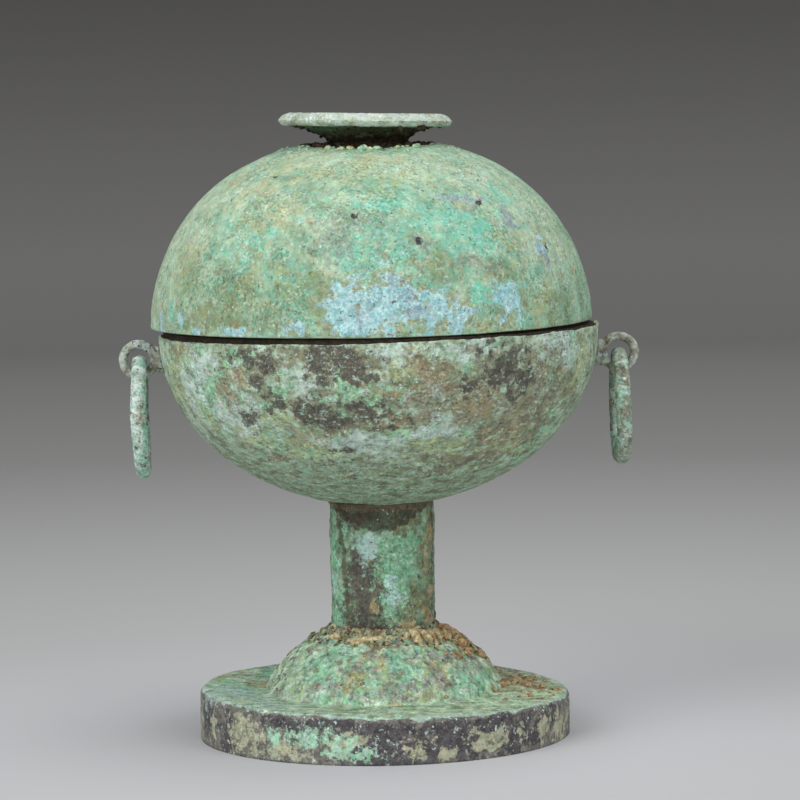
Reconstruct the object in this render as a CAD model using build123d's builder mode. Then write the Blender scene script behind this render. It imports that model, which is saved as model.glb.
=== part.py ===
from build123d import *
import math
import os

# Lidded bronze stem bowl with ring handles. Millimetres, +Z up, standing on Z = 0,
# with the axis of the foot, stem and bowl on Z and the two lugs on X.

# Foot: a hollow disc with a spherical mound and a socket collar for the stem
foot_radius = 58.2
foot_edge_height = 14.6
foot_edge_round = 2.2
foot_wall = 3.0
mound_radius = 37.4
mound_rise = 18.1
collar_lip = 1.4
collar_wall = 2.4
collar_depth = 8.0

# Stem: a hollow round column that passes through the collar
stem_radius = 16.2
stem_wall = 3.3
stem_length = 41.4
stem_tail = 1.5

# Soldered joints
foot_solder_wall = 0.6
foot_solder_rise = 2.6
foot_solder_hollow = 0.35
stem_solder_wall = 1.0
knob_solder_width = 3.6
knob_solder_hollow = 0.15

# Bowl: half an ellipsoid with a stepped rim and an upright inner lip
bowl_radius = 68.9
bowl_depth = 54.9
bowl_wall = 2.6
bowl_floor = 3.4
seat_margin = 0.4
boss_height = 8.0
ledge_setback = 1.5
ledge_rise = 1.6
lip_wall = 1.9
lip_rise = 4.2
rim_land = 1.5
rim_taper = 3.0

# Lid: a dome cut flat at the crown, lying loosely over the lip and pushed towards -X
lid_overhang = 0.2
dome_height = 57.1
dome_center_radius = 12.1
crown_cut = 1.3
lid_wall = 2.3
lid_edge_round = 0.7
lid_play = 2.5
lid_side_gap = 0.4
lid_seat_gap = 0.15

# Knob: a flared disc with a dished top and a tenon hammered over inside the lid
knob_radius = 27.2
knob_rise = 11.2
knob_edge = 4.2
knob_edge_round = 1.6
knob_neck_radius = 11.4
knob_neck_rise = 1.3
knob_flare_sag = 2.1
knob_rim_width = 3.6
knob_dish_depth = 4.0
knob_tenon_radius = 5.0
knob_tenon_gap = 0.1
rivet_radius = 7.2
rivet_thickness = 1.4

# Lugs: round loops with roots on the bowl and tenons through its wall
lug_standoff = 7.1
lug_drop = 8.0
lug_band = 2.8
lug_width = 3.4
lug_round = 1.2
lug_root_height = 8.4
lug_seat_gap = 0.05
lug_tenon_width = 2.2
lug_tenon_height = 5.6
lug_tenon_proud = 0.8

# Rings: loose round handles, each hanging in the bore of its lug
ring_wire_radius = 2.35
ring_play = 0.3
bore_clearance = 1.15
left_ring_radius = 19.4
right_ring_radius = 18.4

# Most of a thickness that one rounded edge may take
round_share = 0.4


def round_height(radius, across, along):
    """Height above its centre of an ellipse with half axes across and along, at a radius."""
    return along * math.sqrt(1 - (radius / across) ** 2)


def ellipse_arc(center, across, along, start, end):
    """Arc of an ellipse between two angles in degrees, as one exact rational Bezier curve."""
    middle = math.radians((start + end) / 2)
    half = math.radians((end - start) / 2)
    turns = ((middle - half, 1), (middle, math.cos(half)), (middle + half, 1))
    points = [
        (center[0] + across * math.cos(turn) / weight, center[1] + along * math.sin(turn) / weight)
        for turn, weight in turns
    ]
    return Bezier(*points, weights=[weight for turn, weight in turns])


# Levels up the axis, from the floor to the crown of the lid
mound_top_z = foot_edge_height + mound_rise
collar_bottom_z = mound_top_z - collar_depth
stem_bottom_z = collar_bottom_z - stem_tail
seat_z = mound_top_z + stem_length
seat_radius = stem_radius + seat_margin
shoulder_z = seat_z + round_height(seat_radius, bowl_radius, bowl_depth)
ledge_z = shoulder_z + ledge_rise
lip_z = ledge_z + lip_rise
lid_rim_z = ledge_z + lid_seat_gap
crown_z = lid_rim_z + dome_height - crown_cut
knob_top_z = crown_z + knob_rise
lug_z = shoulder_z - lug_drop

# Fits between the pieces
socket_radius = stem_radius + foot_solder_wall
collar_top_radius = socket_radius + collar_lip
stem_bore_radius = stem_radius - stem_wall
boss_radius = stem_bore_radius - stem_solder_wall
lid_radius = bowl_radius + lid_overhang
lip_radius = lid_radius - lid_wall - lid_play
lid_x = lid_side_gap - lid_play
lid_plane = Plane(origin=(lid_x, 0, 0), x_dir=(1, 0, 0), z_dir=(0, -1, 0))
lid_axis = Axis((lid_x, 0, 0), (0, 0, 1))
bowl_inner_radius = bowl_radius - bowl_wall
bowl_inner_depth = bowl_depth - bowl_floor
lug_bore_radius = ring_wire_radius + bore_clearance
lug_radius = lug_bore_radius + lug_band
lug_x = round_height(lug_drop, bowl_depth, bowl_radius) + lug_standoff

os.makedirs("parts", exist_ok=True)

# Foot: one sphere round the axis carries the mound, and a smaller one its inside
mound_drop = (mound_radius**2 - collar_top_radius**2 - mound_rise**2) / (2 * mound_rise)
mound_center_z = foot_edge_height - mound_drop
mound_sphere = math.hypot(mound_radius, mound_drop)
hollow_sphere = mound_sphere - foot_wall
foot_ceiling_z = foot_edge_height - foot_wall
foot_inner_radius = foot_radius - foot_wall
collar_radius = socket_radius + collar_wall
collar_joint_z = mound_center_z + round_height(collar_radius, hollow_sphere, hollow_sphere)
hollow_radius = round_height(foot_ceiling_z - mound_center_z, hollow_sphere, hollow_sphere)

with BuildPart() as foot:
    with BuildSketch(Plane.XZ) as foot_profile:
        with BuildLine():
            Polyline(
                (hollow_radius, foot_ceiling_z),
                (foot_inner_radius, foot_ceiling_z),
                (foot_inner_radius, 0),
                (foot_radius, 0),
                (foot_radius, foot_edge_height),
                (mound_radius, foot_edge_height),
            )
            RadiusArc((mound_radius, foot_edge_height), (collar_top_radius, mound_top_z), -mound_sphere)
            Polyline(
                (collar_top_radius, mound_top_z),
                (socket_radius, mound_top_z),
                (socket_radius, collar_bottom_z),
                (collar_radius, collar_bottom_z),
                (collar_radius, collar_joint_z),
            )
            RadiusArc((collar_radius, collar_joint_z), (hollow_radius, foot_ceiling_z), hollow_sphere)
        make_face()
        edge_corner = foot_profile.vertices().group_by(Axis.X)[-1].sort_by(Axis.Y)[-1]
        fillet(edge_corner, radius=min(foot_edge_round, foot_wall))
    revolve(axis=Axis.Z)
foot.part.label = "foot"
export_step(foot.part, "parts/foot.step")

# Solder in the socket of the foot, with a hollow fillet round the base of the stem
with BuildPart() as foot_solder:
    with BuildSketch(Plane.XZ):
        with BuildLine():
            Polyline(
                (stem_radius, mound_top_z + foot_solder_rise),
                (stem_radius, collar_bottom_z),
                (socket_radius, collar_bottom_z),
                (socket_radius, mound_top_z),
                (collar_top_radius, mound_top_z),
            )
            SagittaArc(
                (collar_top_radius, mound_top_z),
                (stem_radius, mound_top_z + foot_solder_rise),
                foot_solder_hollow,
            )
        make_face()
    revolve(axis=Axis.Z)
foot_solder.part.label = "foot_solder"
export_step(foot_solder.part, "parts/foot_solder.step")

# Stem
with BuildPart() as stem:
    with BuildSketch(Plane.XY.offset(stem_bottom_z)):
        Circle(stem_radius)
        Circle(stem_bore_radius, mode=Mode.SUBTRACT)
    extrude(amount=seat_z - stem_bottom_z)
stem.part.label = "stem"
export_step(stem.part, "parts/stem.step")

# Solder between the boss of the bowl and the bore of the stem
with BuildPart() as stem_solder:
    with BuildSketch(Plane.XY.offset(seat_z - boss_height)):
        Circle(stem_bore_radius)
        Circle(boss_radius, mode=Mode.SUBTRACT)
    extrude(amount=boss_height)
stem_solder.part.label = "stem_solder"
export_step(stem_solder.part, "parts/stem_solder.step")

# Bowl: its flat seat is as wide as the stem, and the mortises are as large as the tenons
seat_angle = math.degrees(math.acos(seat_radius / bowl_radius))
taper_angle = math.degrees(math.asin((rim_land + rim_taper) / bowl_inner_depth))
lip_inner_radius = lip_radius - lip_wall
ledge_radius = bowl_radius - ledge_setback
mortise_plane = Plane(origin=(-lug_x, 0, lug_z), x_dir=(0, 1, 0), z_dir=(1, 0, 0))

with BuildPart() as bowl:
    with BuildSketch(Plane.YZ):
        with BuildLine():
            outside = ellipse_arc((0, shoulder_z), bowl_radius, bowl_depth, -seat_angle, 0)
            inside = ellipse_arc((0, shoulder_z), bowl_inner_radius, bowl_inner_depth, -90, -taper_angle)
            Polyline(
                outside @ 0,
                (boss_radius, seat_z),
                (boss_radius, seat_z - boss_height),
                (0, seat_z - boss_height),
                inside @ 0,
            )
            Polyline(
                inside @ 1,
                (lip_inner_radius, shoulder_z - rim_land),
                (lip_inner_radius, lip_z),
                (lip_radius, lip_z),
                (lip_radius, ledge_z),
                (ledge_radius, ledge_z),
                (ledge_radius, shoulder_z),
                outside @ 1,
            )
        make_face()
    revolve(axis=Axis.Z)
    with BuildSketch(mortise_plane):
        Rectangle(lug_tenon_width, lug_tenon_height)
    extrude(amount=2 * lug_x, mode=Mode.SUBTRACT)
bowl.part.label = "bowl"
export_step(bowl.part, "parts/bowl.step")

# Lugs: the root follows the outside of the bowl, which is cut from it
tenon_foot_drop = lug_drop + lug_tenon_height / 2
tenon_end_x = round_height(tenon_foot_drop, bowl_inner_depth, bowl_inner_radius) - lug_tenon_proud
tenon_start_x = lug_x - lug_bore_radius - lug_band / 2
lug_fillet = min(lug_round, round_share * lug_band, round_share * lug_width)

with BuildPart() as bowl_envelope:
    with BuildSketch(Plane.XZ):
        with BuildLine():
            skin = ellipse_arc((0, shoulder_z), bowl_radius + lug_seat_gap, bowl_depth + lug_seat_gap, -90, 0)
            Polyline(skin @ 0, (0, shoulder_z), skin @ 1)
        make_face()
    revolve(axis=Axis.Z)

with BuildPart() as left_lug:
    with BuildSketch(Plane.XZ):
        with Locations((-lug_x, lug_z)):
            Circle(lug_radius)
            Rectangle(lug_x - tenon_end_x, lug_root_height, align=(Align.MIN, Align.CENTER))
            Circle(lug_bore_radius, mode=Mode.SUBTRACT)
    extrude(amount=lug_width / 2, both=True)
    fillet(left_lug.faces().filter_by(Axis.Y).edges(), radius=lug_fillet)
    add(bowl_envelope.part, mode=Mode.SUBTRACT)
    with BuildSketch(Plane(origin=(-tenon_start_x, 0, lug_z), x_dir=(0, 1, 0), z_dir=(1, 0, 0))):
        Rectangle(lug_tenon_width, lug_tenon_height)
    extrude(amount=tenon_start_x - tenon_end_x)
left_lug.part.label = "left_lug"
export_step(left_lug.part, "parts/left_lug.step")

with BuildPart() as right_lug:
    mirror(left_lug.part, about=Plane.YZ)
right_lug.part.label = "right_lug"
export_step(right_lug.part, "parts/right_lug.step")

# Rings: each wire lies on the bottom of its bore, with the ring's plane along the wall
ring_wire_z = lug_z - bore_clearance + ring_play

for label, wire_x, outer_radius in (
    ("left_ring", -lug_x, left_ring_radius),
    ("right_ring", lug_x, right_ring_radius),
):
    ring_center_z = ring_wire_z - outer_radius + ring_wire_radius
    with BuildPart() as ring:
        with BuildSketch(Plane.XZ):
            with Locations((wire_x, ring_wire_z)):
                Circle(ring_wire_radius)
        revolve(axis=Axis((0, 0, ring_center_z), (1, 0, 0)))
    ring.part.label = label
    export_step(ring.part, f"parts/{label}.step")

# Lid: the inside follows the outside at the thickness of the wall, also under the flat crown
dome_width = lid_radius - dome_center_radius
inner_height = dome_height - lid_wall
crown_angle = math.degrees(math.asin(1 - crown_cut / dome_height))
inner_crown_angle = math.degrees(math.asin(1 - crown_cut / inner_height))
knob_hole_radius = knob_tenon_radius + knob_tenon_gap

with BuildPart() as lid_dome:
    with BuildSketch(lid_plane) as lid_profile:
        with BuildLine():
            center = (dome_center_radius, lid_rim_z)
            outside = ellipse_arc(center, dome_width, dome_height, 0, crown_angle)
            inside = ellipse_arc(center, dome_width - lid_wall, inner_height, 0, inner_crown_angle)
            Polyline(
                outside @ 1,
                (knob_hole_radius, crown_z),
                (knob_hole_radius, crown_z - lid_wall),
                inside @ 1,
            )
            Line(inside @ 0, outside @ 0)
        make_face()
        rim_corner = lid_profile.vertices().group_by(Axis.X)[-1]
        fillet(rim_corner, radius=min(lid_edge_round, round_share * lid_wall))
    revolve(axis=lid_axis)
lid_dome.part.label = "lid_dome"
export_step(lid_dome.part, "parts/lid_dome.step")

# Knob: neck, flare, rounded edge, dish and hammered tenon in one profile
knob_edge_z = knob_top_z - knob_edge
rivet_top_z = crown_z - lid_wall
dish_radius = knob_radius - knob_rim_width

with BuildPart() as lid_knob:
    with BuildSketch(lid_plane) as knob_profile:
        with BuildLine():
            Polyline(
                (0, knob_top_z - knob_dish_depth),
                (0, rivet_top_z - rivet_thickness),
                (rivet_radius, rivet_top_z - rivet_thickness),
                (rivet_radius, rivet_top_z),
                (knob_tenon_radius, rivet_top_z),
                (knob_tenon_radius, crown_z),
                (knob_neck_radius, crown_z),
                (knob_neck_radius, crown_z + knob_neck_rise),
            )
            SagittaArc(
                (knob_neck_radius, crown_z + knob_neck_rise), (knob_radius, knob_edge_z), knob_flare_sag
            )
            Polyline((knob_radius, knob_edge_z), (knob_radius, knob_top_z), (dish_radius, knob_top_z))
            dish_sphere = (dish_radius**2 + knob_dish_depth**2) / (2 * knob_dish_depth)
            RadiusArc((dish_radius, knob_top_z), (0, knob_top_z - knob_dish_depth), dish_sphere)
        make_face()
        edge_corners = knob_profile.vertices().group_by(Axis.X)[-1]
        fillet(edge_corners, radius=min(knob_edge_round, round_share * knob_edge))
    revolve(axis=lid_axis)
lid_knob.part.label = "lid_knob"
export_step(lid_knob.part, "parts/lid_knob.step")

# Solder round the neck of the knob
with BuildPart() as knob_solder:
    with BuildSketch(lid_plane):
        with BuildLine():
            Polyline(
                (knob_neck_radius, crown_z + knob_neck_rise),
                (knob_neck_radius, crown_z),
                (knob_neck_radius + knob_solder_width, crown_z),
            )
            SagittaArc(
                (knob_neck_radius + knob_solder_width, crown_z),
                (knob_neck_radius, crown_z + knob_neck_rise),
                knob_solder_hollow,
            )
        make_face()
    revolve(axis=lid_axis)
knob_solder.part.label = "knob_solder"
export_step(knob_solder.part, "parts/knob_solder.step")
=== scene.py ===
import itertools
import math
from types import SimpleNamespace

import bmesh
import bpy
import numpy as np
from mathutils import Matrix, Vector


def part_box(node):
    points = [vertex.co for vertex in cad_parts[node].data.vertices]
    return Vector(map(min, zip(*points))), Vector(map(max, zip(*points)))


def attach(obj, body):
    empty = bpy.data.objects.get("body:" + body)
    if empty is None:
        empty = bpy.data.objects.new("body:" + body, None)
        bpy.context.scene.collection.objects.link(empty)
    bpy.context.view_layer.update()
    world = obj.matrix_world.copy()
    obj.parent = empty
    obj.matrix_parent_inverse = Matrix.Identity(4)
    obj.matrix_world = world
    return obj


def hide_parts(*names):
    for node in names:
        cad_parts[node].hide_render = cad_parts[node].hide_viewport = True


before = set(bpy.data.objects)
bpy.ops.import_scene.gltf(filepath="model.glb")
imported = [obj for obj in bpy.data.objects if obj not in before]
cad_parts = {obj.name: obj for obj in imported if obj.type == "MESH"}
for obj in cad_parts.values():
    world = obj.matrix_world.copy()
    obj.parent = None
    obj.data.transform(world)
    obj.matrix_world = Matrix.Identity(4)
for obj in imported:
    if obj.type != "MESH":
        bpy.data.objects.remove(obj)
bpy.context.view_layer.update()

# Lengths are in millimetres and angles in degrees; meshes are written in metres.
# An azimuth is measured from the front of the vessel, -Y, and grows towards +X.
MM = 0.001
WELD = 1e-7
LID_AXIS_X = sum(corner.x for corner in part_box("lid_dome")) / 2 / MM
draws = np.random.default_rng(20)


# Noise

# Large factors that scatter the numbers of neighbouring cells, kept to 32 bits
CELL_FACTORS = (374761393, 668265263, 1440670441)
SEED_FACTOR = 974634777
MIX_FACTOR = 1274126177
WORD = 0xFFFFFFFF


def unit_vectors(cells, seed):
    """Three repeatable values from 0 to 1 for each lattice cell."""
    mixed = (cells.astype(np.int64) @ np.array(CELL_FACTORS) + seed * SEED_FACTOR) & WORD
    mixed = ((mixed ^ (mixed >> 13)) * MIX_FACTOR) & WORD
    mixed = mixed ^ (mixed >> 16)
    return np.stack([mixed & 1023, (mixed >> 10) & 1023, (mixed >> 20) & 1023], -1) / 1023


def smooth_noise(points, size, seed):
    """Gradient noise, about -1 to 1, with swells of the given size."""
    scaled = points / size
    cells = np.floor(scaled)
    local = scaled - cells
    fade = local**3 * (local * (local * 6 - 15) + 10)
    total = np.zeros(points.shape[:-1])
    for corner in itertools.product((0.0, 1.0), repeat=3):
        slope = unit_vectors(cells + corner, seed) * 2 - 1
        weight = np.prod(np.where(corner, fade, 1 - fade), -1)
        total += weight * ((local - corner) * slope).sum(-1)
    return total * 1.8


def fractal(points, size, octaves, seed):
    """Gradient noise with finer and fainter swells added."""
    return sum(smooth_noise(points, size / 2**k, seed + k) / 2**k for k in range(octaves))


def grains(points, size, seed):
    """Rounded grains that lie side by side: 1 on top of each and 0 between them."""
    scaled = points / size
    cells = np.floor(scaled)
    nearest = np.full(points.shape[:-1], 4.0)
    for shift in itertools.product((-1.0, 0.0, 1.0), repeat=3):
        centers = cells + shift + unit_vectors(cells + shift, seed)
        nearest = np.minimum(nearest, ((scaled - centers) ** 2).sum(-1))
    return np.clip(1 - nearest / 0.6, 0, 1)


def ease(value, low, high):
    """0 at low, 1 at high and a smooth step between; low may be the larger."""
    share = np.clip((value - low) / (high - low), 0, 1)
    return share * share * (3 - 2 * share)


# Turned shapes, taken from the outlines of the CAD nodes

def section(node, axis_x):
    """Half outline of a turned node as (radius, height) points, and whether it is a closed loop.
    It runs upwards on the outside; an open one starts and ends on the axis."""
    solid = bmesh.new()
    solid.from_mesh(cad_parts[node].data)
    bmesh.ops.remove_doubles(solid, verts=solid.verts, dist=WELD)
    for point, normal, clear in (((0, 0, 0), (0, 1, 0), True), ((axis_x * MM, 0, 0), (1, 0, 0), False)):
        cut = bmesh.ops.bisect_plane(
            solid,
            geom=solid.verts[:] + solid.edges[:] + solid.faces[:],
            dist=WELD,
            plane_co=point,
            plane_no=normal,
            clear_inner=clear,
        )
    links = {}
    for edge in (item for item in cut["geom_cut"] if isinstance(item, bmesh.types.BMEdge)):
        first, second = edge.verts
        links.setdefault(first, []).append(second)
        links.setdefault(second, []).append(first)
    ends = [vertex for vertex, near in links.items() if len(near) == 1]
    path = [ends[0] if ends else next(iter(links))]
    before = None
    while True:
        onward = [vertex for vertex in links[path[-1]] if vertex is not before]
        if not onward or onward[0] is path[0]:
            break
        before = path[-1]
        path.append(onward[0])
    points = np.array([(vertex.co.y, vertex.co.z) for vertex in path]) / MM
    solid.free()
    following = np.roll(points, -1, 0)
    area = np.sum(points[:, 0] * following[:, 1] - following[:, 0] * points[:, 1])
    return (points if area > 0 else points[::-1]), not ends


def refine(points, closed, fine, coarse, facing):
    """Divides an outline finely where it faces a direction, (outwards, upwards), and coarsely elsewhere."""
    corners = np.vstack([points, points[:1]]) if closed else points
    rows, hidden = [], []
    for start, end in zip(corners[:-1], corners[1:]):
        run = end - start
        length = np.hypot(*run)
        turned_away = facing is not None and (run[1] * facing[0] - run[0] * facing[1]) < 0.05 * length
        count = max(1, round(length / (coarse if turned_away else fine)))
        rows += [start + run * step / count for step in range(count)]
        hidden += [turned_away] * count
    if not closed:
        rows.append(points[-1])
        hidden.append(hidden[-1])
    return np.array(rows), np.array(hidden)


def outline_normals(rows, closed):
    """Outward normals of an outline that runs upwards on the outside."""
    if closed:
        tangent = np.roll(rows, -1, 0) - np.roll(rows, 1, 0)
    else:
        tangent = np.gradient(rows, axis=0)
        tangent[[0, -1], 1] = 0
    normals = np.stack([tangent[:, 1], -tangent[:, 0]], -1)
    return normals / np.linalg.norm(normals, axis=1, keepdims=True)


def grid_faces(rows, columns, closed):
    """Vertex numbers of the faces of a turned grid. An open outline has one vertex at each end."""
    numbers = np.arange(rows * columns).reshape(rows, columns)
    if not closed:
        numbers[0], numbers[-1] = numbers[0, 0], numbers[-1, 0]
    lower = numbers if closed else numbers[:-1]
    upper = np.roll(numbers, -1, 0) if closed else numbers[1:]
    quads = np.stack([lower, np.roll(lower, -1, 1), np.roll(upper, -1, 1), upper], -1).reshape(-1, 4)
    return [list(dict.fromkeys(quad)) for quad in quads.tolist()]


def make_mesh(name, points, faces, fields):
    """Smooth mesh of the vertices that the faces use, with one float attribute for each field."""
    used = sorted(set(itertools.chain.from_iterable(faces)))
    place = {number: index for index, number in enumerate(used)}
    mesh = bpy.data.meshes.new(name)
    corners = [[place[number] for number in face] for face in faces]
    mesh.from_pydata((points[used] * MM).tolist(), [], corners)
    for field, values in fields.items():
        attribute = mesh.attributes.new(field, "FLOAT", "POINT")
        attribute.data.foreach_set("value", np.asarray(values, np.float32)[used])
    mesh.polygons.foreach_set("use_smooth", [True] * len(mesh.polygons))
    mesh.update()
    return mesh


def add_object(name, points, faces, fields, material):
    """Puts a smooth mesh with a material in the scene."""
    made = bpy.data.objects.new(name, make_mesh(name, points, faces, fields))
    made.data.materials.append(material)
    bpy.context.scene.collection.objects.link(made)
    return made


def add_piece(name, points, faces, fields, material, body, slot, *replaced):
    """Adds an object as a piece that rides on a body and stands for CAD nodes."""
    piece = add_object(name, points, faces, fields, material)
    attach(piece, body)
    if replaced:
        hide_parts(*replaced)


def turned_site(node, axis_x, columns, fine, coarse, facing=None, anchor=(1, 0)):
    """Grid of points over a turned node. The anchor is the corner of the outline's box, as shares of
    its width and height, from which distances along the outline are measured."""
    outline, closed = section(node, axis_x)
    rows, hidden = refine(outline, closed, fine, coarse, facing)
    corner = rows.min(0) + np.ptp(rows, axis=0) * np.array(anchor)
    if closed:
        first = np.argmin(np.linalg.norm(rows - corner, axis=1))
        rows, hidden = np.roll(rows, -first, 0), np.roll(hidden, -first)
    lengths = np.linalg.norm(np.diff(rows, axis=0), axis=1)
    along = np.concatenate([[0], np.cumsum(lengths)])
    along -= along[np.argmin(np.linalg.norm(rows - corner, axis=1))]
    normals = outline_normals(rows, closed)
    turn = np.radians(np.arange(columns) * 360 / columns)
    across = np.stack([np.cos(turn), np.sin(turn)], -1)

    def spread(values):
        return np.repeat(values, columns)

    def swept(pairs):
        level = pairs[:, :1, None] * across[None]
        height = np.broadcast_to(pairs[:, 1, None, None], (len(pairs), columns, 1))
        return np.concatenate([level, height], -1).reshape(-1, 3)

    points = swept(rows) + np.array([axis_x, 0, 0])
    return SimpleNamespace(
        points=points,
        normals=swept(normals),
        azimuth=np.tile(np.degrees(np.arctan2(across[:, 0], -across[:, 1])), len(rows)),
        radius=spread(rows[:, 0]),
        height=spread(rows[:, 1]),
        along=spread(along),
        hidden=spread(hidden),
        drift=[fractal(points, 10, 3, seed) for seed in (11, 12)],
        faces=grid_faces(len(rows), columns, closed),
    )


def spots(site, places):
    """Field of soft, uneven spots, each (azimuth, distance along the outline, half width, half height):
    1 in the middle of a spot, 0 at its edge and down to -1 beyond."""
    field = np.full(len(site.points), -1.0)
    for azimuth, along, wide, tall in places:
        turn = (site.azimuth - azimuth + 180) % 360 - 180
        uneven = 0.7 * min(wide, tall)
        across = (np.radians(turn) * site.radius + uneven * site.drift[0]) / wide
        upwards = (site.along - along + uneven * site.drift[1]) / tall
        field = np.maximum(field, 1 - np.hypot(across, upwards))
    return field


# Azimuths between which the chance spots come in
SIDE_TURNS = (75, 105)


def patches(site, table, seed):
    """The fields of a table. Each row has the places of the spots in front, after the size and the level
    of chance spots on the sides and back of the vessel."""
    behind = ease(np.abs(site.azimuth), *SIDE_TURNS)
    fields = {}
    for row, (name, (size, level, places)) in enumerate(table.items()):
        chance = np.clip(1.7 * fractal(site.points, size, 2, seed + row) - level, -1, 1)
        fields[name] = np.maximum(spots(site, places), behind * (chance + 1) - 1)
    return fields


def settled(site, field, size, seed):
    """A field as a ragged patch: 1 inside and 0 outside."""
    return ease(field + 0.6 * fractal(site.points, size, 3, seed), 0.0, 0.35)


def seat(site, azimuth, along):
    """Number of the grid point nearest to a place on a turned shape."""
    turn = np.radians((site.azimuth - azimuth + 180) % 360 - 180) * site.radius
    return int(np.argmin(np.hypot(turn, site.along - along) + 1000 * site.hidden))


# Materials

# Noise levels at which the four colours of a ground stand
GROUND_STOPS = (0.36, 0.46, 0.54, 0.64)
# Share of fine noise in the edges of patches
FINE_SHARE = 0.3
# Shift of each further noise of a material, in metres
NOISE_STEP = (0.37, 0.21, 0.53)


def colour(code):
    """Linear colour from a display colour that is written as 0xRRGGBB."""
    values = [(code >> shift & 0xFF) / 255 for shift in (16, 8, 0)]
    linear = [v / 12.92 if v <= 0.04045 else ((v + 0.055) / 1.055) ** 2.4 for v in values]
    return (*linear, 1.0)


class Nodes:
    """A new material and the nodes that make it up."""

    def __init__(self, name):
        self.material = bpy.data.materials.new(name)
        self.material.use_nodes = True
        self.tree = self.material.node_tree
        self.shader = self.tree.nodes["Principled BSDF"]
        self.place = self.add("TexCoord").outputs["Object"]

    def fill(self, node, values):
        """Links or sets inputs of a node."""
        for name, value in values.items():
            if isinstance(value, bpy.types.NodeSocket):
                self.tree.links.new(value, node.inputs[name])
            else:
                node.inputs[name].default_value = value

    def add(self, kind, values=None, **settings):
        """Adds a shader node, sets its properties and fills its inputs."""
        made = self.tree.nodes.new("ShaderNode" + kind)
        for name, value in settings.items():
            setattr(made, name, value)
        self.fill(made, values or {})
        return made

    def math(self, operation, *values):
        return self.add("Math", dict(enumerate(values)), operation=operation).outputs[0]

    def ramp(self, value, stops, steps="LINEAR"):
        """Colours at places from 0 to 1."""
        made = self.add("ValToRGB", {"Fac": value})
        made.color_ramp.interpolation = steps
        elements = made.color_ramp.elements
        while len(elements) < len(stops):
            elements.new(0.5)
        for element, (position, shade) in zip(elements, stops):
            element.position = position
            element.color = colour(shade)
        return made.outputs["Color"]


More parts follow.
